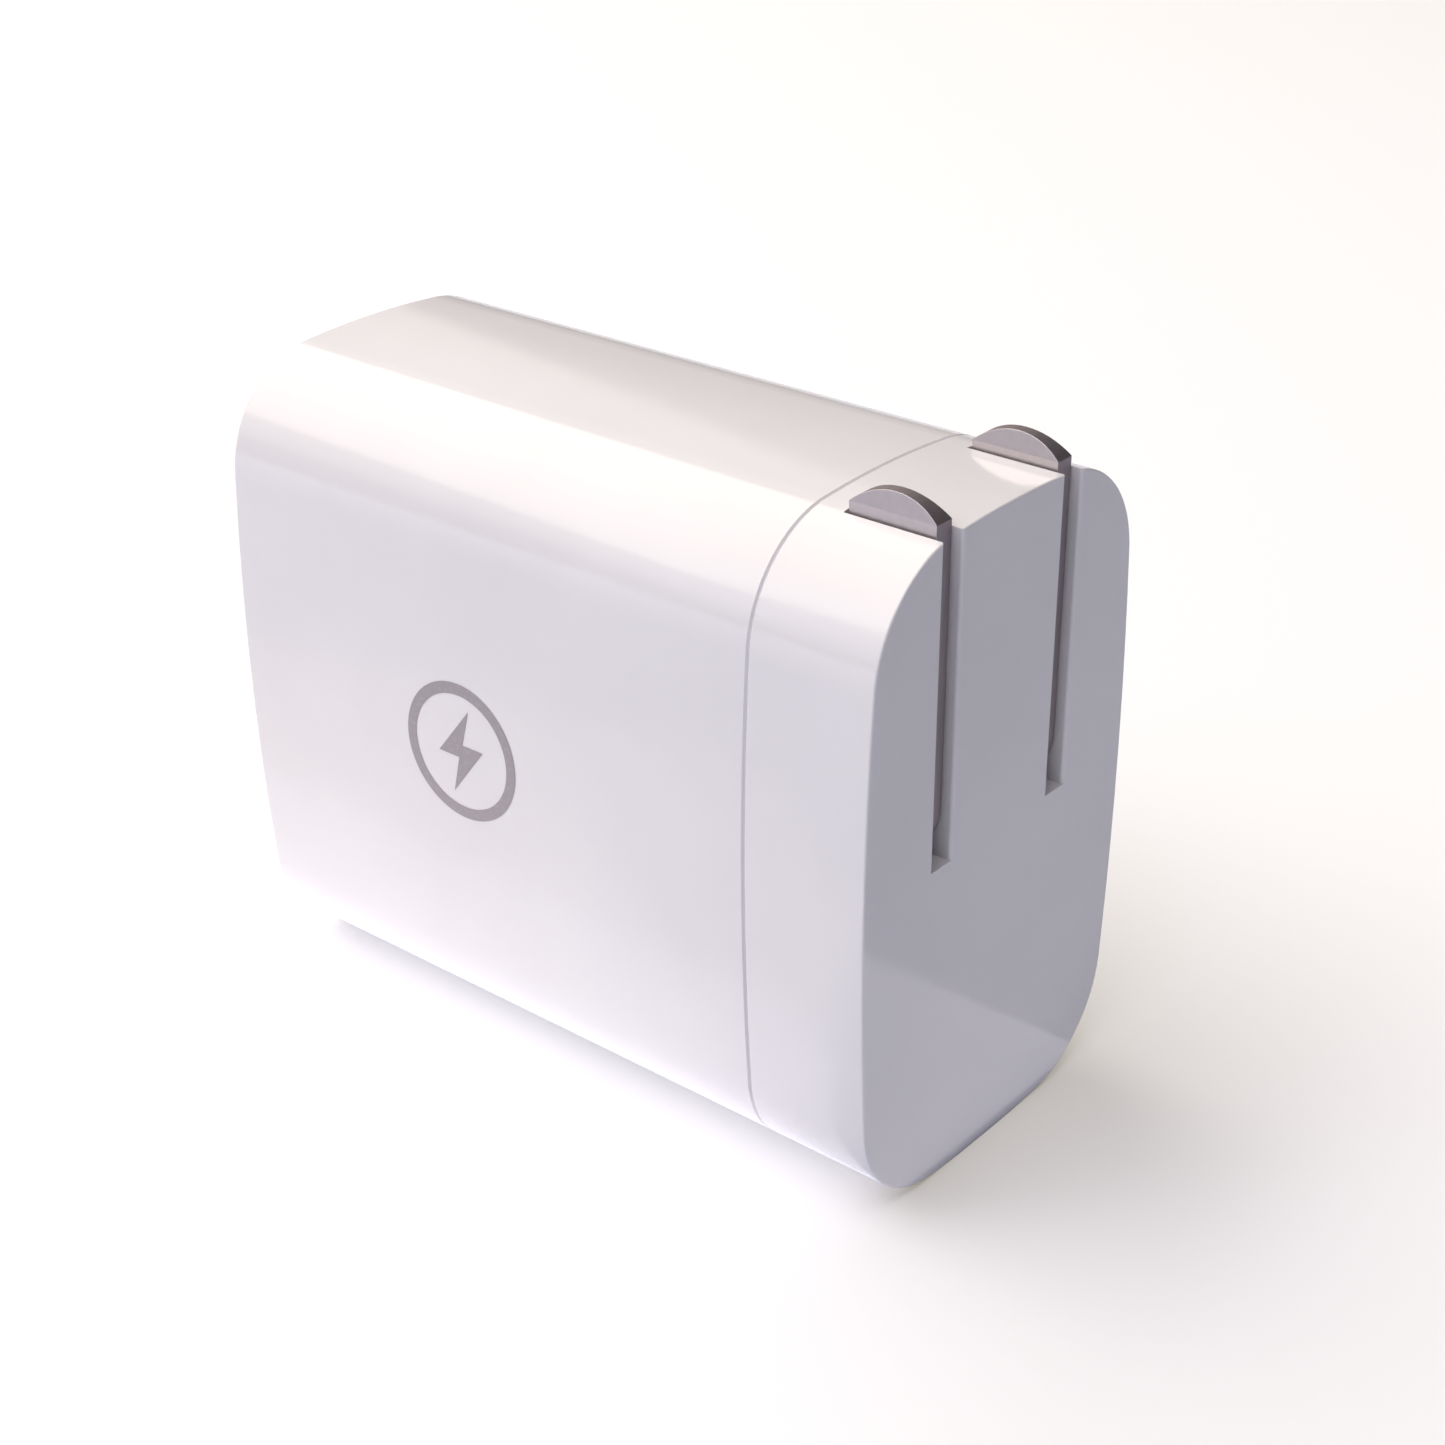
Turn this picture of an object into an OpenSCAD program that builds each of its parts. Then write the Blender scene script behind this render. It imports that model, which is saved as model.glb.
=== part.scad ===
// Plug-in wall power adapter with two folding flat blades and two stacked ports.
// X is the width, Y the long axis with the blade end at -Y, Z is up.
// The blades are stored folded up in open slots and swing 90 degrees out to -Y.

/* [Body] */
// outside width, side to side, mm
body_width = 28.7; // [24:0.1:40]
// outside length, blade face to port face, mm
body_length = 55.7; // [46:0.1:80]
// outside height, mm
body_height = 46.7; // [42:0.1:70]
// radius of the four long corners, mm
corner_radius = 8.2; // [5:0.1:10]
// radius of the slightly bulging side walls, mm
side_bulge_radius = 215; // [120:1:400]
// radius of the slightly bulging top and bottom, mm
top_bulge_radius = 74; // [50:1:200]
// outer wall thickness at mid side, mm
wall = 1.75; // [1.4:0.05:2.5]
// thickness of the port end wall, mm
end_wall = 2; // [1.5:0.1:3]
// rounding of the two outer end edges, mm
end_round = 0.15; // [0.1:0.05:0.8]

/* [Front cap] */
// length of the blade end cap, mm
cap_depth = 9.4; // [9.2:0.1:14]
// thickness of the blade face, mm
face_wall = 1.4; // [1:0.1:2]
// chamfer either side of the joint line, mm
joint_chamfer = 0.15; // [0.05:0.05:0.4]
// length of the cap lip inside the housing, mm
lip_length = 1.6; // [1:0.1:3]

/* [Blades] */
// centre distance of the two blades, mm
blade_spacing = 12.7; // [12:0.1:13.4]
// blade width, mm
blade_width = 6.35; // [5.5:0.05:7]
// blade thickness, mm
blade_thickness = 1.5; // [1.4:0.02:1.7]
// pivot centre to the tip of the blade, mm
blade_reach = 20.6; // [18:0.1:24]
// radius of the curved blade tip, mm
tip_radius = 4.7; // [3.6:0.1:8]
// diameter of the hole near the tip, mm
blade_hole = 3.18; // [2.5:0.01:4]
// pivot centre to the hole centre, mm
hole_reach = 16.2; // [14:0.1:18]
// pivot centre behind the blade face, mm
pivot_depth = 3.9; // [3.8:0.1:4.4]
// pivot centre above the bottom, mm
pivot_height = 27.7; // [26:0.1:32]
// slot clearance on each side of a blade, mm
slot_gap = 0.2; // [0.15:0.01:0.35]
// rounding of the slot edges on the blade face, mm
slot_round = 0.22; // [0.1:0.01:0.3]

/* [Ports] */
// centre distance of the two stacked ports, mm
port_spacing = 13; // [11:0.5:18]
// depth of a port shell, mm
port_depth = 12; // [10:0.5:14]

/* [Circuit] */
// main board thickness, mm
board_thickness = 1.2; // [1:0.1:1.6]
// reservoir capacitor diameter, mm
reservoir_diameter = 8; // [6:0.1:8.4]
// reservoir capacitor length, mm
reservoir_length = 15; // [10:0.5:16]
// transformer core height and length, mm
core_size = 16; // [13:0.5:17]

/* [Hidden] */
$fn = 96;

// depth of the flat that the body stands on; 9.1 wide, so its weight stays well inside
flat_cut = 0.14;
// how far a corner arc stands proud of the walls it blends into
blend = 0.004;
half_w = body_width / 2;
half_l = body_length / 2;
half_h = (body_height + flat_cut) / 2;
mid_z = half_h - flat_cut;
seam_w = half_l - cap_depth;

// centres and end angles of the arcs that make up the outline
side_c = half_w - side_bulge_radius;
top_c = half_h - top_bulge_radius;
reach_a = side_bulge_radius - corner_radius;
reach_b = top_bulge_radius - corner_radius;
span = sqrt(side_c * side_c + top_c * top_c);
along = (reach_a * reach_a - reach_b * reach_b + span * span) / (2 * span);
across = sqrt(reach_a * reach_a - along * along);
dir_x = -side_c / span;
dir_y = top_c / span;
corner_x = side_c + along * dir_x - across * dir_y;
corner_y = along * dir_y + across * dir_x;
side_angle = atan2(corner_y, corner_x - side_c);
top_angle = atan2(corner_y - top_c, corner_x);

// the room inside the housing, measured from the middle of the section
room_x = half_w - wall;
room_y = half_h - wall;
room_r = corner_radius - 1.6;
lip_gap = 0.05;
lip_wall = 1.05;
cap_x = room_x - lip_gap - lip_wall;
cap_y = room_y - lip_gap - lip_wall;
cap_r = room_r - lip_wall;

// blade end
face_y = -half_l;
pivot_y = face_y + pivot_depth;
pivot_w = half_l - pivot_depth;
pivot_v = pivot_height - mid_z;
half_t = blade_thickness / 2;
half_b = blade_width / 2;
slot_half = half_t + slot_gap;
slot_depth = pivot_depth + half_b + 0.25;
slot_floor = pivot_height - half_b - 0.35;
rib = 1.2;
rib_in = blade_spacing / 2 - slot_half - rib;
rib_out = blade_spacing / 2 + slot_half + rib;
rib_depth = 5.6;
plate_front = slot_depth;
plate_t = 1.2;
plate_top = mid_z + cap_y - 0.3;
plate_low = slot_floor - 6.6;
plate_half = min(cap_x - 0.5, rib_out + 2.6);
barrel_r = 2.2;
stub = 2.2;
trunnion_r = 1.55;
run_gap = 0.05;
boss_up = (pivot_height + plate_top + 2.75) / 2;
boss_low = slot_floor - 3.7;
boss_r = 2.3;
leaf_t = 0.35;
tip_centre = blade_reach - tip_radius;
tip_start = tip_centre + sqrt(tip_radius * tip_radius - half_b * half_b);

// ports: inside 12.5 by 5.12, sheet 0.3
port_w = 13.1;
port_h = 5.72;
sheet = 0.3;
port_y = half_l - 0.5;
port_back = port_y - port_depth;

// boards
board_x = -8.3;
board_front = -half_l + cap_depth + 2.2;
port_board_t = 1;
board_back = port_back - port_board_t;
board_half_z = half_h - 3.4;
cap_rad = reservoir_diameter / 2;
strip_low = slot_floor - 2.2;
lead_pitch = 3.4;
// the upper reservoir's leads pass 0.3 under the lower contact strip
reservoir_z = min(mid_z - 5.4, strip_low - lead_pitch / 2 - 0.6);
core_y = board_back - core_size / 2 - 2.2;
core_z = mid_z + 7.8;
core_x = board_x + 7;

module section_2d(x, y, r) {
  square([2 * x - 2 * r, 2 * y], center = true);
  square([2 * x, 2 * y - 2 * r], center = true);
  for (i = [-1, 1], j = [-1, 1]) translate([i * (x - r), j * (y - r)]) circle(r);
}

// round slab, chamfered at w0 and rounded in three flats at w1
module slab(r, w0, w1, low, high) {
  rotate_extrude($fn = r > 20 ? 720 : 96) polygon([[0, w0], [r - low, w0], [r, w0 + low],
    [r, w1 - high], [r - 0.134 * high, w1 - 0.5 * high], [r - 0.5 * high, w1 - 0.134 * high],
    [r - high, w1], [0, w1]]);
}

// solid body outline between two planes: four bulging walls with a rounded corner between each
module outline(w0, w1, low, high) {
  sx = corner_x + corner_radius * cos(side_angle);
  sy = corner_y + corner_radius * sin(side_angle);
  tx = corner_x + corner_radius * cos(top_angle);
  ty = corner_y + corner_radius * sin(top_angle);
  difference() {
    union() {
      difference() {
        intersection() {
          translate([side_c, 0, 0]) slab(side_bulge_radius, w0, w1, low, high);
          translate([-side_c, 0, 0]) rotate(180) slab(side_bulge_radius, w0, w1, low, high);
          translate([0, top_c, 0]) rotate(90) slab(top_bulge_radius, w0, w1, low, high);
          translate([0, -top_c, 0]) rotate(-90) slab(top_bulge_radius, w0, w1, low, high);
        }
        for (i = [-1, 1], j = [-1, 1]) translate([0, 0, w0 - 1]) linear_extrude(w1 - w0 + 2)
          polygon([[i * sx, j * sy], [i * (sx + 3), j * sy], [i * (sx + 3), j * (ty + 3)],
            [i * tx, j * (ty + 3)], [i * tx, j * ty]]);
      }
      for (i = [-1, 1], j = [-1, 1]) translate([i * corner_x, j * corner_y, 0])
        slab(corner_radius + blend, w0, w1, low, high);
    }
    translate([-half_w, -half_h - 1, w0 - 1]) cube([body_width, 1 + flat_cut, w1 - w0 + 2]);
  }
}

// turns a piece drawn on its section so that w points to the blade end
module lay() {
  translate([0, 0, mid_z]) rotate([90, 0, 0]) children();
}

// block given by opposite corners in x, depth behind the blade face, and z
module face_block(x0, x1, d0, d1, z0, z1) {
  translate([x0, face_y + d0, z0]) cube([x1 - x0, d1 - d0, z1 - z0]);
}

module pivot_rod(r, x0, x1) {
  translate([x0, pivot_y, pivot_height]) rotate([0, 90, 0]) cylinder(r = r, h = x1 - x0);
}

module face_rod(r, x, z, d0, d1) {
  translate([x, face_y + d1, z]) rotate([90, 0, 0]) cylinder(r = r, h = d1 - d0);
}

module port_opening(z) {
  w = port_w / 2 + 0.12;
  h = port_h / 2 + 0.12;
  translate([-w, 0, z - h]) cube([2 * w, half_l + 1, 2 * h]);
  // lead-in chamfer around the mouth
  c = 0.35;
  translate([-w, 0, 0]) rotate([90, 0, 90]) linear_extrude(2 * w) polygon([
    [half_l - c, z - h], [half_l + 0.1, z - h - c - 0.1], [half_l + 0.1, z + h + c + 0.1],
    [half_l - c, z + h]]);
  translate([0, 0, z - h]) linear_extrude(2 * h) polygon([
    [-w, half_l - c], [-w - c - 0.1, half_l + 0.1], [w + c + 0.1, half_l + 0.1], [w, half_l - c]]);
}

module main_housing() {
  rail_y = -half_l + cap_depth + lip_length + 0.4;
  color("white") difference() {
    union() {
      difference() {
        lay() rotate([0, 180, 0]) outline(-seam_w, half_l, joint_chamfer, end_round);
        lay() translate([0, 0, -half_l + end_wall]) linear_extrude(half_l * 2)
          section_2d(room_x, room_y, room_r);
      }
      // rails that hold the edges of the main board
      intersection() {
        lay() translate([0, 0, -half_l + end_wall / 2]) linear_extrude(half_l - end_wall / 2 - rail_y)
          section_2d(room_x + 0.6, room_y + 0.6, room_r + 0.6);
        for (s = [-1, 1]) translate([board_x - board_thickness - 1, rail_y,
          s > 0 ? mid_z + board_half_z - 1.6 : 0]) cube([board_thickness + 2, board_back - rail_y,
          half_h - board_half_z + 1.6]);
      }
    }
    translate([board_x - board_thickness - 0.05, rail_y - 1, mid_z - board_half_z - 0.05])
      cube([board_thickness + 0.1, board_back - rail_y + 2, 2 * board_half_z + 0.1]);
    for (s = [-1, 1]) port_opening(mid_z + s * port_spacing / 2);
  }
}

// one blade slot, open at the blade face and at the top
module blade_slot(x) {
  r = slot_round;
  top = mid_z + half_h + 1 - slot_floor;
  translate([x, face_y, slot_floor]) linear_extrude(top) {
    translate([-slot_half, -1]) square([2 * slot_half, slot_depth + 1]);
    difference() {
      translate([-slot_half - r, -1]) square([2 * slot_half + 2 * r, 1 + r]);
      for (s = [-1, 1]) translate([s * (slot_half + r), r]) circle(r);
    }
  }
}

module front_cap() {
  wall_top = mid_z + half_h - 1;
  color("white") difference() {
    union() {
      difference() {
        lay() outline(seam_w, half_l, joint_chamfer, end_round);
        lay() translate([0, 0, seam_w - 1]) linear_extrude(cap_depth + 1 - face_wall)
          section_2d(cap_x, cap_y, cap_r);
      }
      // lip that locates the cap in the housing
      lay() translate([0, 0, seam_w - lip_length]) linear_extrude(lip_length + 0.2) difference() {
        section_2d(room_x - lip_gap, room_y - lip_gap, room_r - lip_gap);
        section_2d(cap_x, cap_y, cap_r);
      }
      // walls on both sides of each slot
      for (s = [-1, 1]) face_block(s * blade_spacing / 2 - slot_half - rib,
        s * blade_spacing / 2 + slot_half + rib, face_wall / 2, rib_depth, slot_floor - rib,
        mid_z + cap_y + 0.6);
      face_rod(boss_r, 0, boss_up, face_wall / 2, plate_front - leaf_t);
      face_rod(boss_r, 0, boss_low, face_wall / 2, plate_front);
    }
    for (s = [-1, 1]) {
      blade_slot(s * blade_spacing / 2);
      // half bearing for the outer journal, open to the rear
      pivot_rod(trunnion_r + run_gap, s > 0 ? rib_out - rib - 0.1 : -rib_out - 0.1,
        s > 0 ? rib_out + 0.1 : -rib_out + rib + 0.1);
      translate([s > 0 ? rib_out - rib - 0.1 : -rib_out - 0.1, pivot_y,
        pivot_height - trunnion_r - run_gap]) cube([rib + 0.2, rib_depth, 2 * (trunnion_r + run_gap)]);
      // room for the barrel of the carrier
      pivot_rod(barrel_r + 0.3, s > 0 ? rib_in - 0.1 : -rib_in - rib - 0.1,
        s > 0 ? rib_in + rib + 0.1 : -rib_in + 0.1);
      translate([s > 0 ? rib_in - 0.1 : -rib_in - rib - 0.1, pivot_y,
        pivot_height - barrel_r - 0.3]) cube([rib + 0.2, rib_depth, 2 * (barrel_r + 0.3)]);
    }
    face_rod(0.95, 0, boss_up, face_wall + 0.6, plate_front);
    face_rod(0.95, 0, boss_low, face_wall + 0.6, plate_front + 1);
  }
}

module blade_cradle() {
  back = plate_front + plate_t;
  color("gainsboro") difference() {
    intersection() {
      union() {
        face_block(-plate_half, plate_half, plate_front, back, plate_low, plate_top);
        for (s = [-1, 1]) {
          x = s * blade_spacing / 2;
          // slot walls and floor that carry on from those of the cap
          for (e = [-1, 1]) face_block(x + e * (slot_half + rib / 2) - rib / 2,
            x + e * (slot_half + rib / 2) + rib / 2, rib_depth, plate_front + 0.1,
            slot_floor - rib, plate_top);
          face_block(x - slot_half - rib, x + slot_half + rib, rib_depth, plate_front + 0.1,
            slot_floor - rib, slot_floor);
          // finger that closes the bearing from behind
          translate([s > 0 ? rib_out - rib + 0.05 : -rib_out + 0.05, pivot_y + 0.2,
            pivot_height - trunnion_r]) cube([rib - 0.1, rib_depth - pivot_depth + 0.2,
            2 * trunnion_r]);
        }
      }
      // stays inside the cap
      lay() translate([0, 0, seam_w - 1]) linear_extrude(cap_depth)
        section_2d(cap_x - 0.15, cap_y - 0.15, cap_r - 0.15);
    }
    // bearing surface
    for (s = [-1, 1]) {
      pivot_rod(trunnion_r + run_gap, s > 0 ? rib_out - rib - 0.1 : -rib_out - 0.1,
        s > 0 ? rib_out + 0.1 : -rib_out + rib + 0.1);
      // room for the barrel
      pivot_rod(barrel_r + 0.3, s > 0 ? rib_in - 0.1 : -rib_in - rib - 0.1,
        s > 0 ? rib_in + rib + 0.1 : -rib_in + 0.1);
      // window for the wiping contact
      face_block(s * blade_spacing / 2 - 0.75, s * blade_spacing / 2 + 0.75, plate_front - 1,
        back + 1, pivot_height - 0.9, pivot_height + 0.9);
    }
    face_rod(1.15, 0, boss_up, plate_front - 1, back + 1);
    face_rod(1.15, 0, boss_low, plate_front - 1, back + 1);
    // window behind the free end of the detent spring
    face_block(-2.6, 2.6, plate_front - 1, back + 1, pivot_height - 2.2, pivot_height + 4.4);
  }
}

module cradle_screw(z) {
  back = plate_front + plate_t;
  difference() {
    union() {
      face_rod(0.9, 0, z, face_wall + 1, back + 0.2);
      face_rod(1.9, 0, z, back, back + 0.75);
      face_rod(1.5, 0, z, back + 0.5, back + 1.05);
    }
    for (a = [0, 90]) translate([0, face_y + back + 0.95, z]) rotate([0, a, 0])
      cube([2.2, 0.9, 0.45], center = true);
  }
}

module cradle_screws() {
  color("silver") {
    cradle_screw(boss_up);
    cradle_screw(boss_low);
  }
}

// flat blade seen from the side: rounded root at the pivot, curved tip
module blade_2d() {
  circle(half_b);
  translate([-half_b, 0]) square([blade_width, tip_start]);
  intersection() {
    translate([0, tip_centre]) circle(tip_radius);
    translate([-half_b, tip_start - 1]) square([blade_width, tip_radius]);
  }
}

module blade(x) {
  sink = 0.38;
  translate([x, pivot_y, pivot_height]) difference() {
    rotate([90, 0, 90]) translate([0, 0, -half_t]) linear_extrude(blade_thickness) blade_2d();
    // hole with a countersink on both faces
    translate([0, 0, hole_reach]) rotate([0, 90, 0]) {
      cylinder(r = blade_hole / 2, h = 4, center = true);
      for (s = [-1, 1]) translate([0, 0, s * (half_t - sink / 2 + 0.05)]) cylinder(
        r1 = blade_hole / 2 + (s < 0 ? sink + 0.1 : 0), r2 = blade_hole / 2 + (s > 0 ? sink + 0.1 : 0),
        h = sink + 0.1, center = true);
    }
    // square hole for the carrier
    cube([4, stub, stub], center = true);
    // bevels that thin the tip on both faces
    for (s = [-1, 1]) translate([0, half_b + 1, 0]) rotate([90, 0, 0])
      linear_extrude(blade_width + 2) polygon([[s * half_t, tip_start],
        [s * (half_t + 0.4), tip_start], [s * (half_t + 0.4), blade_reach + 1],
        [s * (half_t - 0.62), blade_reach + 1]]);
  }
}

module blade_left() {
  color("silver") blade(-blade_spacing / 2);
}

module blade_right() {
  color("silver") blade(blade_spacing / 2);
}

// barrel between the blades, square stubs through them, journals outside
module blade_carrier() {
  inner = blade_spacing / 2 - half_t;
  outer = blade_spacing / 2 + half_t;
  flat = 1.85;
  color("dimgray") {
    difference() {
      pivot_rod(barrel_r, -inner, inner);
      // flats that the detent spring drops on, stored and ready for use
      translate([-2.6, pivot_y + flat, pivot_height - 3]) cube([5.2, 2, 6]);
      translate([-2.6, pivot_y - 3, pivot_height - flat - 2]) cube([5.2, 6, 2]);
    }
    translate([-outer, pivot_y - stub / 2, pivot_height - stub / 2]) cube([2 * outer, stub, stub]);
    for (s = [-1, 1]) pivot_rod(trunnion_r, s > 0 ? outer : -rib_out + 0.1,
      s > 0 ? rib_out - 0.1 : -outer);
  }
}

// leaf that presses on the flats of the carrier
module detent_spring() {
  d = plate_front;
  near = pivot_depth + barrel_r + 0.06;
  color("lightsteelblue") difference() {
    translate([-2.2, face_y, 0]) rotate([90, 0, 90]) linear_extrude(4.4) polygon([
      [d - leaf_t, boss_up + 2], [d, boss_up + 2], [d, boss_up - 2.8],
      [near + leaf_t, pivot_height + 0.9], [near + leaf_t, pivot_height - 0.9],
      [near + leaf_t + 0.35, pivot_height - 1.9], [near + 0.35, pivot_height - 1.9],
      [near, pivot_height - 1], [near, pivot_height + 1], [d - leaf_t, boss_up - 2.9]]);
    face_rod(1.15, 0, boss_up, d - 2, d + 1);
  }
}

// wiping contact on the back of the cradle, with a strip across to the board
module blade_contact(s, z, reach) {
  x = s * blade_spacing / 2;
  back = plate_front + plate_t;
  t = 0.35;
  // pad that faces the blade root
  face_block(x - 0.6, x + 0.6, plate_front - 0.05, back + t, pivot_height - 0.6, pivot_height + 0.6);
  face_block(x - 0.9, x + 0.9, back, back + t, z, pivot_height + 3);
  // run back to the board
  face_block(x - 0.9, x + 0.9, back, reach, z, z + t);
  face_block(board_x, x + 0.9, reach - 1.5, reach, z, z + t);
}

module line_contact() {
  color("goldenrod") blade_contact(-1, strip_low, cap_depth + 4.4);
}

module neutral_contact() {
  color("goldenrod") blade_contact(1, slot_floor - 0.2, cap_depth + 4.4);
}

module main_board() {
  color("darkgreen") translate([board_x - board_thickness, board_front, mid_z - board_half_z])
    cube([board_thickness, board_back - board_front, 2 * board_half_z]);
}

module port_board() {
  color("darkgreen") translate([-9.6, board_back, mid_z - port_spacing / 2 - 7])
    cube([19.2, port_board_t, port_spacing + 14]);
}

// upright lead between a part and the board face
module lead(y, z, h) {
  translate([board_x, y, z]) rotate([0, 90, 0]) cylinder(r = 0.3, h = h);
}

module fuse() {
  z = mid_z + 3.2;
  color("saddlebrown") {
    translate([board_x + 2.6, board_front + 5.4, z]) cylinder(r = 1.7, h = 6);
    for (k = [0, 1]) translate([board_x + 2.6, board_front + 5.4, z - 0.9 + k * 6.9])
      cylinder(r = 0.3, h = 0.9);
    for (k = [0, 1]) lead(board_front + 5.4, z - 0.6 + k * 7.2, 2.9);
  }
}

module bridge_rectifier() {
  color("black") translate([board_x - board_thickness - 1.7, board_front + 3, mid_z + 4])
    cube([1.7, 5, 6.4]);
}

module reservoir(z) {
  y0 = board_front + 2.4;
  x = board_x + cap_rad + 0.4;
  translate([x, y0 + reservoir_length, z]) rotate([90, 0, 0]) difference() {
    union() {
      cylinder(r = cap_rad, h = reservoir_length - 2.2);
      translate([0, 0, reservoir_length - 2.3]) cylinder(r = cap_rad - 0.35, h = 1.1);
      translate([0, 0, reservoir_length - 1.4]) cylinder(r = cap_rad, h = 1.4);
    }
    // pressure relief cross on the closed end
    for (a = [0, 90]) rotate([0, 0, a]) translate([-cap_rad + 1, -0.15, -1])
      cube([2 * cap_rad - 2, 0.3, 1.2]);
  }
  for (k = [-1, 1]) {
    translate([x, y0, z + k * lead_pitch / 2]) rotate([90, 0, 0]) cylinder(r = 0.3, h = 0.9);
    lead(y0 - 0.6, z + k * lead_pitch / 2, cap_rad + 0.7);
  }
}

module reservoir_capacitor_upper() {
  color("midnightblue") reservoir(reservoir_z);
}

module reservoir_capacitor_lower() {
  color("midnightblue") reservoir(reservoir_z - reservoir_diameter - 0.6);
}

module input_choke() {
  color("black") translate([board_x, board_front + 5.2, mid_z + 15]) rotate([0, 90, 0]) {
    translate([0, 0, 0.4]) cylinder(r = 3.2, h = 1.2);
    translate([0, 0, 1.5]) cylinder(r = 2.7, h = 5.2);
    translate([0, 0, 6.6]) cylinder(r = 3.2, h = 1.2);
    for (k = [-1, 1]) translate([0, k * 2, 0]) cylinder(r = 0.3, h = 0.6);
  }
}

module transformer_core() {
  s = core_size;
  color("dimgray") translate([core_x, core_y, core_z]) difference() {
    cube([5, s, s], center = true);
    for (k = [-1, 1]) translate([0, k * (s / 4 - 0.2), 0]) cube([6, s / 2 - 4.9, s - 5], center = true);
  }
}

module transformer_bobbin() {
  s = core_size;
  leg = 2.35;
  fy = s / 2 - 2.75;
  color("beige") translate([core_x, core_y, core_z]) difference() {
    union() {
      cube([6.2, 2 * leg + 1.1, s - 5.4], center = true);
      for (k = [-1, 1]) {
        translate([0, 0, k * (s / 2 - 3.1)]) cube([12, 2 * fy, 0.8], center = true);
        // feet and pins towards the board
        translate([-6.45, 0, k * (s / 2 - 3.1)]) cube([1.1, 2 * fy, 0.8], center = true);
      }
    }
    cube([5.1, 2 * leg - 0.1, s], center = true);
  }
}

module transformer_winding() {
  s = core_size;
  color("gold") translate([core_x, core_y, core_z]) difference() {
    translate([0, 0, -s / 2 + 3.5]) linear_extrude(s - 7) section_2d(5.6, s / 2 - 3.1, 1.6);
    cube([6.2, 5.8, s], center = true);
  }
}

module control_chip() {
  color("black") translate([board_x - board_thickness - 1.5, board_front + 12, mid_z - 10])
    cube([1.5, 4, 5]);
}

module output_rectifier() {
  color("black") translate([board_x - board_thickness - 1.4, board_back - 8, mid_z + 2])
    cube([1.4, 5, 6.5]);
}

module output_capacitor(z) {
  translate([board_x, board_back - 7.6, z]) rotate([0, 90, 0]) {
    translate([0, 0, 0.3]) cylinder(r = 3.1, h = 8.6);
    for (k = [-1, 1]) translate([0, k * 1.2, 0]) cylinder(r = 0.3, h = 0.4);
  }
}

module output_capacitor_upper() {
  color("silver") output_capacitor(mid_z - 6.2);
}

module output_capacitor_lower() {
  color("silver") output_capacitor(mid_z - 13.2);
}

module safety_capacitor() {
  color("steelblue") translate([board_x + 4.3, board_back - 1, mid_z - 10]) {
    rotate([90, 0, 0]) cylinder(r = 3.6, h = 2.4);
    for (k = [-1, 1]) translate([-4.3, -1.2, k * 2]) rotate([0, 90, 0]) cylinder(r = 0.3, h = 2.2);
  }
}

// folded sheet sleeve around one port
module port_shell(z) {
  translate([0, port_back, z]) rotate([-90, 0, 0]) linear_extrude(port_depth) difference() {
    section_2d(port_w / 2, port_h / 2, 0.6);
    section_2d(port_w / 2 - sheet, port_h / 2 - sheet, 0.3);
  }
}

module port_shell_upper() {
  color("silver") port_shell(mid_z + port_spacing / 2);
}

module port_shell_lower() {
  color("silver") port_shell(mid_z - port_spacing / 2);
}

// insulator with its tongue towards the top of the port
module port_tongue(z) {
  w = port_w / 2 - sheet;
  h = port_h / 2 - sheet;
  translate([0, port_back, z]) rotate([-90, 0, 0]) linear_extrude(port_depth - 9.2)
    section_2d(w - 0.02, h - 0.02, 0.32);
  translate([-5.55, port_back, z - 0.1]) cube([11.1, port_depth - 0.7, 1.84]);
}

module port_tongue_upper() {
  color("ghostwhite") port_tongue(mid_z + port_spacing / 2);
}

module port_tongue_lower() {
  color("ghostwhite") port_tongue(mid_z - port_spacing / 2);
}

// four contact strips on the underside of the tongue
module port_contacts(z) {
  y0 = port_back + port_depth - 9.2;
  for (x = [-3.5, -1, 1, 3.5]) translate([x - 0.5, 0, 0]) rotate([90, 0, 90]) linear_extrude(1)
    polygon([[y0, z - 0.1], [y0, z - 0.35], [y0 + 3.6, z - 0.35], [y0 + 5.6, z - 0.75],
      [y0 + 6.6, z - 0.75], [y0 + 7.6, z - 0.35], [y0 + 7.9, z - 0.35], [y0 + 7.9, z - 0.1]]);
}

module port_contacts_upper() {
  color("gold") port_contacts(mid_z + port_spacing / 2);
}

module port_contacts_lower() {
  color("gold") port_contacts(mid_z - port_spacing / 2);
}

main_housing();
front_cap();
blade_cradle();
cradle_screws();
blade_left();
blade_right();
blade_carrier();
detent_spring();
line_contact();
neutral_contact();
main_board();
port_board();
fuse();
bridge_rectifier();
reservoir_capacitor_upper();
reservoir_capacitor_lower();
input_choke();
transformer_core();
transformer_bobbin();
transformer_winding();
control_chip();
output_rectifier();
output_capacitor_upper();
output_capacitor_lower();
safety_capacitor();
port_shell_upper();
port_shell_lower();
port_tongue_upper();
port_tongue_lower();
port_contacts_upper();
port_contacts_lower();
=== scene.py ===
"""White block wall charger with folding blades: finishes, printed badge, studio and camera."""
import math

import bmesh
import bpy
from mathutils import Matrix, Quaternion, Vector


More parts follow.
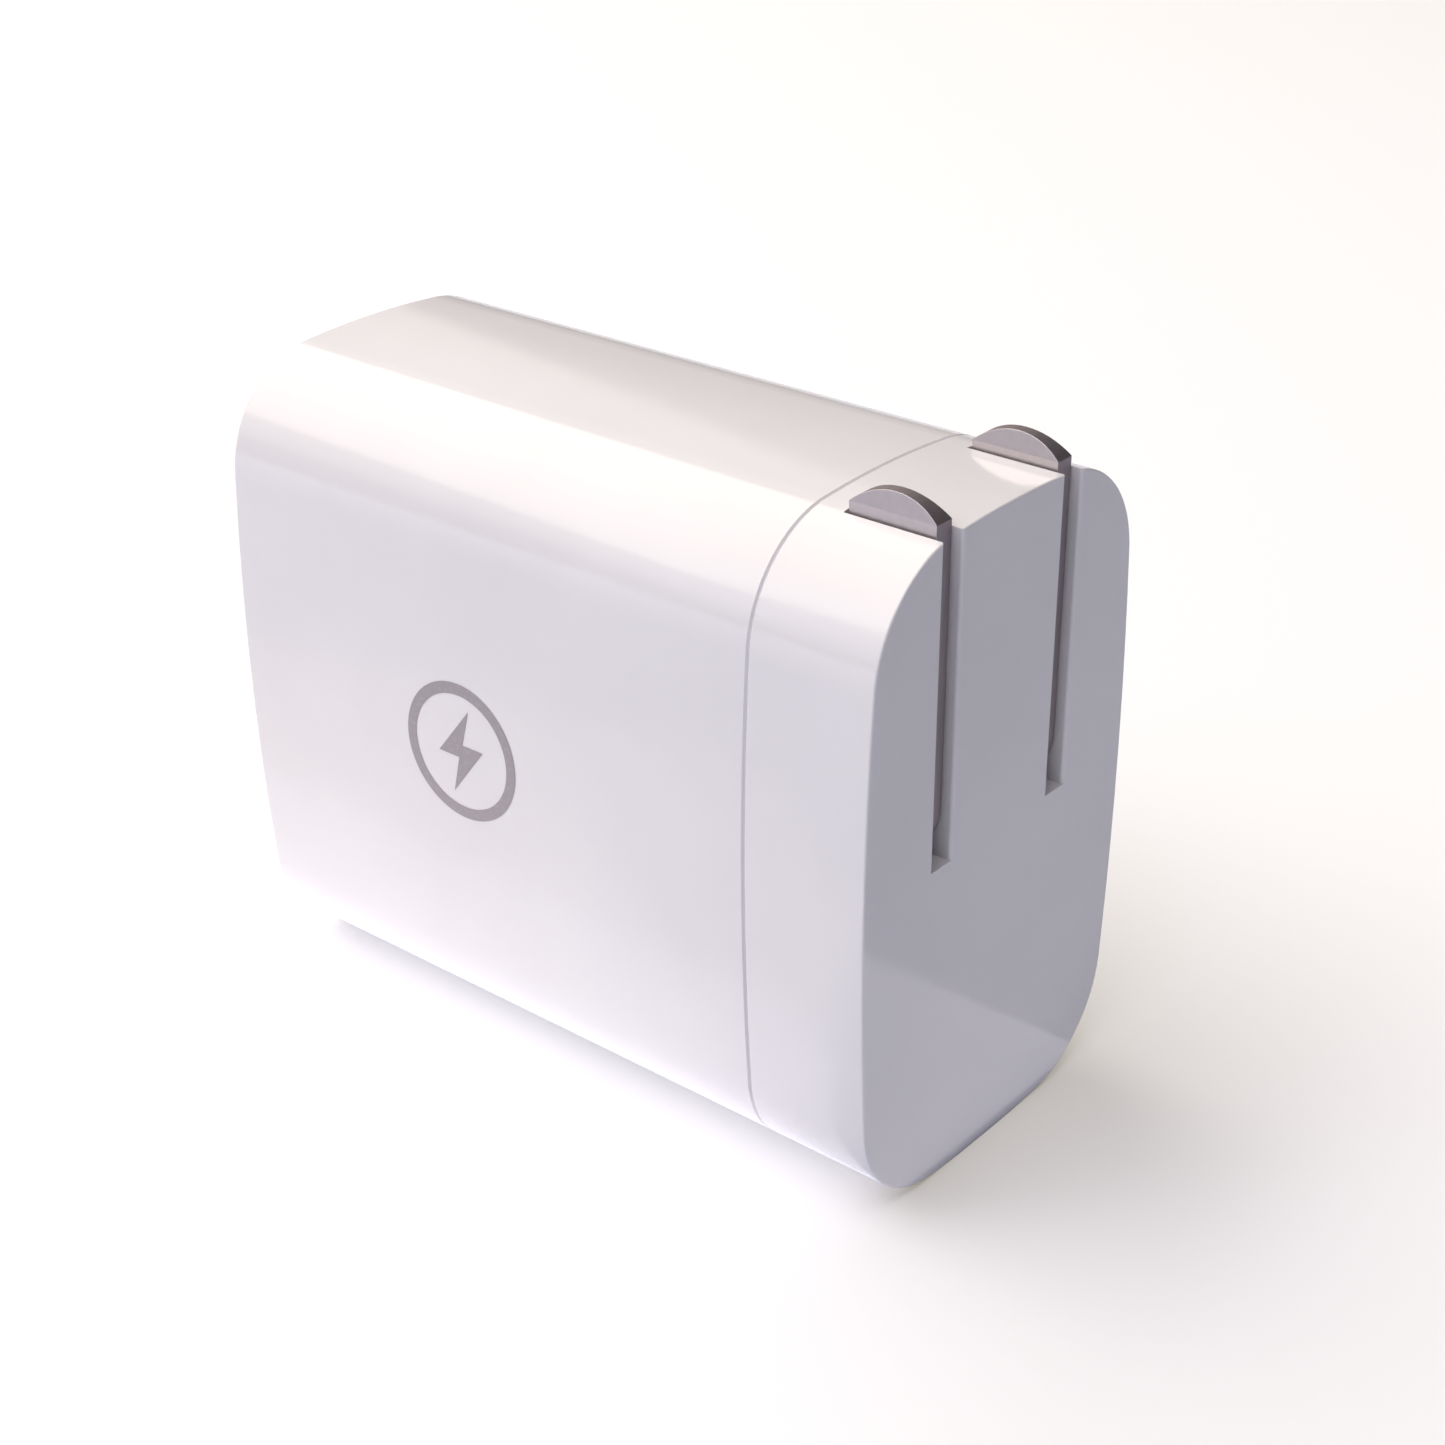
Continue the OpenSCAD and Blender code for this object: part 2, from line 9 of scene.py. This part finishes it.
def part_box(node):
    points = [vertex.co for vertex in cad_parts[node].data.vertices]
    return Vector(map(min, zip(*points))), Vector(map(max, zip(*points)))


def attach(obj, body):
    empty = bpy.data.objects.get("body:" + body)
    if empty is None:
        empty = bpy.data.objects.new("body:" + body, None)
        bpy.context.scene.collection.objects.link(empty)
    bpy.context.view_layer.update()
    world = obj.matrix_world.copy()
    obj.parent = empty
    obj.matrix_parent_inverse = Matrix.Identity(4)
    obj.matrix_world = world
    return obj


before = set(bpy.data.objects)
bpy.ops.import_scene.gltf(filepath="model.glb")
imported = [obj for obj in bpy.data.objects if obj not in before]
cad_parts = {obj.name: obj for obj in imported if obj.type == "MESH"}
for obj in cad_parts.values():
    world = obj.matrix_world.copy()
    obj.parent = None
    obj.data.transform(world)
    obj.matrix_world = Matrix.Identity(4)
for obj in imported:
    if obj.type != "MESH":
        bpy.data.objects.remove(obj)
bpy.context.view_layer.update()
MM = 0.001
FOOT_FLAT = 0.14 * MM


# ---------------------------------------------------------------- helpers

def linear(hex_colour):
    """sRGB hex to the linear colour that shader sockets take."""
    parts = [int(hex_colour[i:i + 2], 16) / 255 for i in (1, 3, 5)]
    parts = [c / 12.92 if c <= 0.04045 else ((c + 0.055) / 1.055) ** 2.4 for c in parts]
    return (*parts, 1.0)


def add(tree, kind, settings=None, links=None, stops=None, **props):
    """Adds one node: its sockets, its input links, a ramp's (position, hex) stops, its properties."""
    made = tree.nodes.new(kind)
    for name, value in props.items():
        setattr(made, name, value)
    for socket, value in (settings or {}).items():
        made.inputs[socket].default_value = value
    for socket, source in (links or {}).items():
        tree.links.new(source, made.inputs[socket])
    for index, (position, colour) in enumerate(stops or ()):
        if index == len(made.color_ramp.elements):
            made.color_ramp.elements.new(position)
        made.color_ramp.elements[index].position = position
        made.color_ramp.elements[index].color = linear(colour)
    return made


def start(name, **settings):
    """An empty material: its tree, its surface shader and rest coordinates in metres."""
    material = bpy.data.materials.new(name)
    material.use_nodes = True
    tree = material.node_tree
    tree.nodes.clear()
    skin = add(tree, "ShaderNodeBsdfPrincipled",
               {socket.replace("_", " "): value for socket, value in settings.items()})
    add(tree, "ShaderNodeOutputMaterial", links={"Surface": skin.outputs["BSDF"]})
    return material, tree, skin, add(tree, "ShaderNodeTexCoord").outputs["Object"]


def per_metre(millimetres):
    """Texture scale that gives one feature every so many millimetres."""
    return 1.0 / (millimetres * MM)


def finish_surface(tree, skin, place, mottle_mm, stops, grain_mm, stretch, rough, depth_mm, bump):
    """Mottled colour, and one grain for the roughness (unless rough is None) and the relief."""
    mottle = add(tree, "ShaderNodeTexNoise", {"Scale": per_metre(mottle_mm)}, {"Vector": place})
    colour = add(tree, "ShaderNodeValToRGB", links={"Fac": mottle.outputs["Fac"]}, stops=stops)
    tree.links.new(colour.outputs["Color"], skin.inputs["Base Color"])
    drawn = add(tree, "ShaderNodeMapping", {"Scale": stretch}, {"Vector": place})
    grain = add(tree, "ShaderNodeTexNoise", {"Scale": per_metre(grain_mm), "Detail": 3.0},
                {"Vector": drawn.outputs["Vector"]})
    if rough:
        spread = add(tree, "ShaderNodeMapRange",
                     {"From Min": 0.3, "From Max": 0.7, "To Min": rough[0], "To Max": rough[1]},
                     {"Value": grain.outputs["Fac"]})
        tree.links.new(spread.outputs["Result"], skin.inputs["Roughness"])
    relief = add(tree, "ShaderNodeBump", {"Strength": bump, "Distance": depth_mm * MM},
                 {"Height": grain.outputs["Fac"]})
    tree.links.new(relief.outputs["Normal"], skin.inputs["Normal"])
    return grain, relief


# ---------------------------------------------------------------- finishes

EVEN = (1, 1, 1)
ROLLED = (1, 0.12, 1)
DRAWN_UP = (1, 2.2, 0.09)


def polished_white_polycarbonate():
    # polycarbonate moulded in a polished tool: bright gloss with a very faint orange peel,
    # about 1 mm from crest to crest
    material, tree, skin, place = start(
        "polished_white_polycarbonate", IOR=1.58, Subsurface_Weight=0.05,
        Subsurface_Scale=0.6 * MM, Subsurface_Radius=(1.0, 0.9, 0.85))
    finish_surface(tree, skin, place, 14, [(0.3, "#dfdddf"), (0.7, "#e3e1e3")],
                   1.1, EVEN, (0.11, 0.15), 0.004, 0.25)
    return material


def satin_grey_nylon():
    # nylon moulded in a spark-eroded tool: even satin; the grit is finer than shows, so it
    # is drawn at 0.15 mm
    material, tree, skin, place = start("satin_grey_nylon", IOR=1.53)
    finish_surface(tree, skin, place, 3, [(0.3, "#cfcdd0"), (0.7, "#d6d4d7")],
                   0.15, EVEN, (0.4, 0.5), 0.01, 0.4)
    return material


def black_glass_filled_nylon():
    # nylon moulded with glass fibre: dull black, with short pale flecks along the flow
    material, tree, skin, place = start("black_glass_filled_nylon", IOR=1.53)
    finish_surface(tree, skin, place, 0.6, [(0.45, "#17171a"), (0.8, "#2a2a2e")],
                   0.3, (0.3, 1, 1), (0.45, 0.6), 0.01, 0.4)
    return material


def satin_nickel_on_brass():
    # brass stamped from rolled strip, tumbled and nickel plated: warm satin metal with a faint
    # lengthways grain, darker and duller where the shear left the narrow edges rough
    material, tree, skin, place = start("satin_nickel_on_brass", Metallic=1.0)
    grain, relief = finish_surface(tree, skin, place, 0.5, [(0.3, "#cdc5c6"), (0.7, "#d1c9ca")],
                                   0.5, DRAWN_UP, None, 0.001, 0.1)
    axis = add(tree, "ShaderNodeSeparateXYZ",
               links={"Vector": add(tree, "ShaderNodeTexCoord").outputs["Normal"]})
    flat = add(tree, "ShaderNodeMath", links={0: axis.outputs["X"]}, operation="ABSOLUTE")
    share = add(tree, "ShaderNodeMapRange", {"From Min": 0.25, "From Max": 0.75},
                {"Value": flat.outputs["Value"]})
    face = skin.inputs["Base Color"].links[0].from_socket
    edge = add(tree, "ShaderNodeValToRGB", links={"Fac": grain.outputs["Fac"]},
               stops=[(0.3, "#958c8f"), (0.7, "#a0979a")])
    mixed = add(tree, "ShaderNodeMix", data_type="RGBA",
                links={0: share.outputs["Result"], 6: edge.outputs["Color"], 7: face})
    tree.links.new(mixed.outputs[2], skin.inputs["Base Color"])
    dull = add(tree, "ShaderNodeMapRange", {"From Min": 0.25, "From Max": 0.75, "To Min": 0.55,
                                            "To Max": 0.44}, {"Value": flat.outputs["Value"]})
    tree.links.new(dull.outputs["Result"], skin.inputs["Roughness"])
    soft = add(tree, "ShaderNodeBevel", {"Radius": 0.07 * MM}, samples=4)
    tree.links.new(soft.outputs["Normal"], relief.inputs["Normal"])
    return material


def nickel_plated_steel():
    # mild steel sheet, folded and bright nickel plated: mirror-like with rolling lines
    material, tree, skin, place = start("nickel_plated_steel", Metallic=1.0)
    finish_surface(tree, skin, place, 2.5, [(0.3, "#b9b6b2"), (0.7, "#cbc8c4")],
                   0.4, ROLLED, (0.2, 0.3), 0.004, 0.3)
    return material


def rolled_phosphor_bronze():
    # spring strip, cold rolled: brownish gold satin with rolling lines
    material, tree, skin, place = start("rolled_phosphor_bronze", Metallic=1.0)
    finish_surface(tree, skin, place, 2.5, [(0.3, "#b98c56"), (0.7, "#caa06a")],
                   0.4, ROLLED, (0.25, 0.35), 0.004, 0.3)
    return material


def flashed_gold():
    # copper alloy with a thin electroplated gold flash: warm yellow, nearly smooth
    material, tree, skin, place = start("flashed_gold", Metallic=1.0)
    finish_surface(tree, skin, place, 2.5, [(0.3, "#c99a46"), (0.7, "#dcb05c")],
                   0.4, ROLLED, (0.22, 0.32), 0.004, 0.3)
    return material


def zinc_plated_steel():
    # steel wire and screw stock, barrel plated with zinc: cool grey, slightly dull
    material, tree, skin, place = start("zinc_plated_steel", Metallic=1.0)
    finish_surface(tree, skin, place, 2.5, [(0.3, "#a9abad"), (0.7, "#bcbec0")],
                   0.4, ROLLED, (0.28, 0.38), 0.004, 0.3)
    return material


def drawn_aluminium():
    # deep-drawn can: pale grey with draw lines down its length
    material, tree, skin, place = start("drawn_aluminium", Metallic=1.0)
    finish_surface(tree, skin, place, 2.5, [(0.3, "#c4c6c8"), (0.7, "#d4d6d8")],
                   0.4, ROLLED, (0.3, 0.4), 0.004, 0.3)
    return material


def transfer_moulded_epoxy():
    # chip package, epoxy filled with silica: matt black with a fine eroded grain
    material, tree, skin, place = start("transfer_moulded_epoxy", IOR=1.5)
    finish_surface(tree, skin, place, 2.5, [(0.3, "#18181a"), (0.7, "#222224")],
                   0.4, EVEN, (0.55, 0.65), 0.01, 0.3)
    return material


def shrunk_vinyl():
    # PVC sleeve shrunk on with heat: smooth dark blue with slight ripples
    material, tree, skin, place = start("shrunk_vinyl", IOR=1.53)
    finish_surface(tree, skin, place, 2.5, [(0.3, "#141829"), (0.7, "#1a2036")],
                   0.4, EVEN, (0.3, 0.4), 0.01, 0.3)
    return material


def coated_glass_epoxy():
    # woven glass laminate under a printed solder mask: green gloss, the weave just felt
    material, tree, skin, place = start("coated_glass_epoxy", IOR=1.55)
    finish_surface(tree, skin, place, 2.5, [(0.3, "#0f4a2a"), (0.7, "#145433")],
                   0.2, EVEN, (0.35, 0.45), 0.01, 0.3)
    return material


def brown_lacquer():
    # ceramic body dipped in lacquer: smooth brown with an uneven film
    material, tree, skin, place = start("brown_lacquer", IOR=1.5)
    finish_surface(tree, skin, place, 2.5, [(0.3, "#5a3422"), (0.7, "#653c28")],
                   0.4, EVEN, (0.3, 0.4), 0.01, 0.3)
    return material


def sintered_ferrite():
    # pressed and fired powder, ground on its mating faces: dull dark grey, slightly pitted
    material, tree, skin, place = start("sintered_ferrite", IOR=1.5)
    finish_surface(tree, skin, place, 2.5, [(0.3, "#2b2b2d"), (0.7, "#3b3b3d")],
                   0.4, EVEN, (0.55, 0.68), 0.01, 0.3)
    return material


def moulded_phenolic():
    # phenolic resin, compression moulded: flat sandy cream with fine grain
    material, tree, skin, place = start("moulded_phenolic", IOR=1.55)
    finish_surface(tree, skin, place, 2.5, [(0.3, "#b9b296"), (0.7, "#c4bda2")],
                   0.4, EVEN, (0.5, 0.6), 0.01, 0.3)
    return material


def yellow_polyester_tape():
    # polyester film wound on tight: smooth warm yellow
    material, tree, skin, place = start("yellow_polyester_tape", IOR=1.57)
    finish_surface(tree, skin, place, 2.5, [(0.3, "#cfa52c"), (0.7, "#dab238")],
                   0.4, EVEN, (0.3, 0.4), 0.01, 0.3)
    return material


def dipped_blue_epoxy():
    # ceramic disc dipped in epoxy powder: blue with a slightly lumpy gloss
    material, tree, skin, place = start("dipped_blue_epoxy", IOR=1.5)
    finish_surface(tree, skin, place, 2.5, [(0.3, "#1f5aa0"), (0.7, "#2765ae")],
                   0.4, EVEN, (0.35, 0.45), 0.01, 0.3)
    return material


def moulded_crystal_polymer():
    # liquid crystal polymer, moulded thin: off-white satin with flow grain
    material, tree, skin, place = start("moulded_crystal_polymer", IOR=1.6)
    finish_surface(tree, skin, place, 2.5, [(0.3, "#dedddb"), (0.7, "#e6e5e3")],
                   0.4, EVEN, (0.45, 0.55), 0.01, 0.3)
    return material


def grey_pad_print():
    # solvent ink, one pass laid by a soft pad: even satin grey, slightly thin in spots
    material, tree, skin, place = start("grey_pad_print", IOR=1.5)
    finish_surface(tree, skin, place, 0.3, [(0.25, "#a39da1"), (0.5, "#9a9498")],
                   0.8, EVEN, (0.3, 0.4), 0.001, 0.1)
    return material


FINISHED_NODES = {
    polished_white_polycarbonate: ("main_housing", "front_cap"),
    satin_grey_nylon: ("blade_cradle",),
    black_glass_filled_nylon: ("blade_carrier",),
    satin_nickel_on_brass: ("blade_left", "blade_right"),
    nickel_plated_steel: ("port_shell_upper", "port_shell_lower"),
    rolled_phosphor_bronze: ("line_contact", "neutral_contact"),
    flashed_gold: ("port_contacts_upper", "port_contacts_lower"),
    zinc_plated_steel: ("cradle_screws", "detent_spring"),
    drawn_aluminium: ("output_capacitor_upper", "output_capacitor_lower"),
    transfer_moulded_epoxy: ("bridge_rectifier", "control_chip", "output_rectifier"),
    shrunk_vinyl: ("reservoir_capacitor_upper", "reservoir_capacitor_lower"),
    coated_glass_epoxy: ("main_board", "port_board"),
    brown_lacquer: ("fuse",),
    sintered_ferrite: ("input_choke", "transformer_core"),
    moulded_phenolic: ("transformer_bobbin",),
    yellow_polyester_tape: ("transformer_winding",),
    dipped_blue_epoxy: ("safety_capacitor",),
    moulded_crystal_polymer: ("port_tongue_upper", "port_tongue_lower"),
}


def dress_nodes():
    for finish, names in FINISHED_NODES.items():
        material = finish()
        for name in names:
            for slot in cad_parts[name].material_slots:
                slot.material = material


# ---------------------------------------------------------------- printed badge

def wall_x(z):
    """Where the bulging side wall stands at this height, on the -X side."""
    low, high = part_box("main_housing")
    bulge = 215 * MM
    middle = (low.z + high.z) / 2 - FOOT_FLAT / 2
    return low.x + bulge - math.sqrt(bulge ** 2 - (z - middle) ** 2)


def badge():
    """Generic ring with a power bolt, printed on the broad side, following its curve."""
    centre_y, centre_z = 6.2 * MM, 24.2 * MM
    outer, inner, steps = 5.1 * MM, 4.25 * MM, 72
    lift = 0.02 * MM
    mesh = bmesh.new()

    def point(u, v):
        # u runs to the left as it is read, towards +Y
        return mesh.verts.new((wall_x(centre_z + v) - lift, centre_y - u, centre_z + v))

    rings = []
    for radius in (inner, outer):
        turn = [2 * math.pi * i / steps for i in range(steps)]
        rings.append([point(radius * math.cos(a), radius * math.sin(a)) for a in turn])
    for i in range(steps):
        j = (i + 1) % steps
        mesh.faces.new((rings[0][i], rings[1][i], rings[1][j], rings[0][j]))
    bolt = [(0.9, 3.3), (-2.1, -0.45), (-0.2, -0.45), (-0.9, -3.3), (2.1, 0.55), (0.2, 0.55)]
    corners = [point(u * MM, v * MM) for u, v in bolt]
    for fan in ((0, 1, 2, 5), (2, 3, 4, 5)):
        mesh.faces.new([corners[i] for i in fan])
    bmesh.ops.recalc_face_normals(mesh, faces=mesh.faces)
    for face in mesh.faces:
        if face.normal.x > 0:
            face.normal_flip()
    data = bpy.data.meshes.new("printed_badge")
    mesh.to_mesh(data)
    mesh.free()
    piece = bpy.data.objects.new("printed_badge", data)
    bpy.context.scene.collection.objects.link(piece)
    data.materials.append(grey_pad_print())
    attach(piece, "charger")
    return piece


# ---------------------------------------------------------------- studio

WHITE = (1.0, 1.0, 1.0, 1.0)


def matt_glow(name, base, glow_colour, glow):
    """Matt surface with no gloss that also gives off an even light."""
    return start(name, Roughness=0.9, Specular_IOR_Level=0.0, Base_Color=base,
                 Emission_Color=glow_colour, Emission_Strength=glow)[0]


def white_sheet(name, drop, albedo, glow, glow_colour):
    """Wide matt sheet that the charger stands on."""
    bpy.ops.mesh.primitive_plane_add(size=12, location=(0, 0, -drop * MM))
    sheet = bpy.context.object
    sheet.name = name
    sheet.data.materials.append(matt_glow(name, linear(albedo), linear(glow_colour), glow))
    return sheet


def studio_floor():
    """The floor that shows, and one under it that only throws light back on the charger."""
    seen = white_sheet("studio_floor", 0.02, "#d7dae7", 0.274, "#fff3cb")
    seen.visible_diffuse = seen.visible_glossy = seen.visible_transmission = False
    seen.visible_shadow = False
    bounce = white_sheet("bounce_floor", 0.04, "#d4d9e8", 0.0, "#ffffff")
    bounce.visible_camera = False


def glow_card(name, drop, corners, glow):
    """Lit card under the floor that fills the walls from below: corners in mm."""
    mesh = bmesh.new()
    mesh.faces.new([mesh.verts.new((x * MM, y * MM, -drop * MM)) for x, y in corners])
    data = bpy.data.meshes.new(name)
    mesh.to_mesh(data)
    mesh.free()
    card = bpy.data.objects.new(name, data)
    bpy.context.scene.collection.objects.link(card)
    data.materials.append(matt_glow(name, linear("#e7e4e3"), linear("#eef0ff"), glow))
    card.visible_camera = False


def cards():
    wide = ((15, -20), (47, -4), (69, 25), (50, 80), (15, 80))
    close = ((8, -27), (26, -16), (30, -8), (30, 50), (8, 50))
    for side, turn in (("left", -1), ("right", 1)):
        glow_card(side + "_card", 0.03, [(turn * x, y) for x, y in wide], 0.32)
        glow_card(side + "_close_card", 0.026, [(turn * x, y) for x, y in close], 0.7)
    glow_card("front_card", 0.03, ((-13, -28.5), (-13, -62), (13, -62), (13, -28.5)), 0.56)
    glow_card("back_card", 0.03, ((-13, 28.5), (-13, 62), (13, 62), (13, 28.5)), 0.56)


def studio_backdrop():
    """White surround that only the lens sees, for low views."""
    bpy.ops.mesh.primitive_uv_sphere_add(segments=48, ring_count=24, radius=5.5)
    dome = bpy.context.object
    dome.name = "studio_backdrop"
    dome.data.materials.append(matt_glow("white_backdrop", (0, 0, 0, 1), WHITE, 1.0))
    dome.visible_diffuse = dome.visible_glossy = dome.visible_transmission = False
    dome.visible_shadow = dome.visible_volume_scatter = False


def softbox(name, turn, rise, wide, high, glow, colour):
    """Flat soft light 1.2 m away; turn is from +Y towards -X, and all angles are in degrees."""
    reach = 1.2
    light = bpy.data.lights.new(name, "AREA")
    light.shape = "RECTANGLE"
    light.size = 2 * reach * math.tan(math.radians(wide / 2))
    light.size_y = 2 * reach * math.tan(math.radians(high / 2))
    light.energy = math.pi * light.size * light.size_y * glow
    light.color = linear(colour)[:3]
    lamp = bpy.data.objects.new(name, light)
    turn, rise = math.radians(turn), math.radians(rise)
    aim = Vector((-math.sin(turn) * math.cos(rise), math.cos(turn) * math.cos(rise), math.sin(rise)))
    lamp.location = reach * aim
    lamp.rotation_euler = aim.to_track_quat("Z", "Y").to_euler()
    lamp.visible_camera = False
    bpy.context.scene.collection.objects.link(lamp)


def lights():
    # name, turn, rise, wide, high, glow, colour
    for light in (("overhead_softbox", 85, 72, 50, 46, 3.0, "#f0ebf0"),
                  ("left_softbox", 80, 27, 56, 40, 0.64, "#d9deff"),
                  ("back_softbox", 12, 50, 76, 44, 2.1, "#fff5de"),
                  ("wide_softbox", 8, 44, 100, 56, 0.6, "#fffaf6"),
                  ("right_softbox", -90, 60, 60, 40, 0.06, "#ffffff")):
        softbox(*light)
    world = bpy.data.worlds.new("studio_fill")
    world.use_nodes = True
    world.node_tree.nodes["Background"].inputs["Color"].default_value = linear("#e1e9ff")
    world.node_tree.nodes["Background"].inputs["Strength"].default_value = 0.03
    bpy.context.scene.world = world


def camera():
    """Long-lens view down on the blade end and the badge side."""
    lens = bpy.data.cameras.new("camera")
    lens.sensor_width, lens.lens = 36.0, 61.66
    lens.shift_x, lens.shift_y = -0.00945, 0.0484
    lens.clip_start, lens.clip_end = 0.01, 20
    view = bpy.data.objects.new("camera", lens)
    place = Vector((-115.87, -102.55, 102.88)) * MM
    aim = place + Vector((0.67167, 0.55959, -0.48550))
    tilt = Quaternion((0, 0, 1), math.radians(-0.46))
    view.rotation_mode = "QUATERNION"
    view.location = place
    view.rotation_quaternion = (aim - place).to_track_quat("-Z", "Y") @ tilt
    bpy.context.scene.collection.objects.link(view)
    bpy.context.scene.camera = view
    bpy.context.scene.view_settings.view_transform = "Standard"


dress_nodes()
badge()
studio_floor()
cards()
studio_backdrop()
lights()
camera()
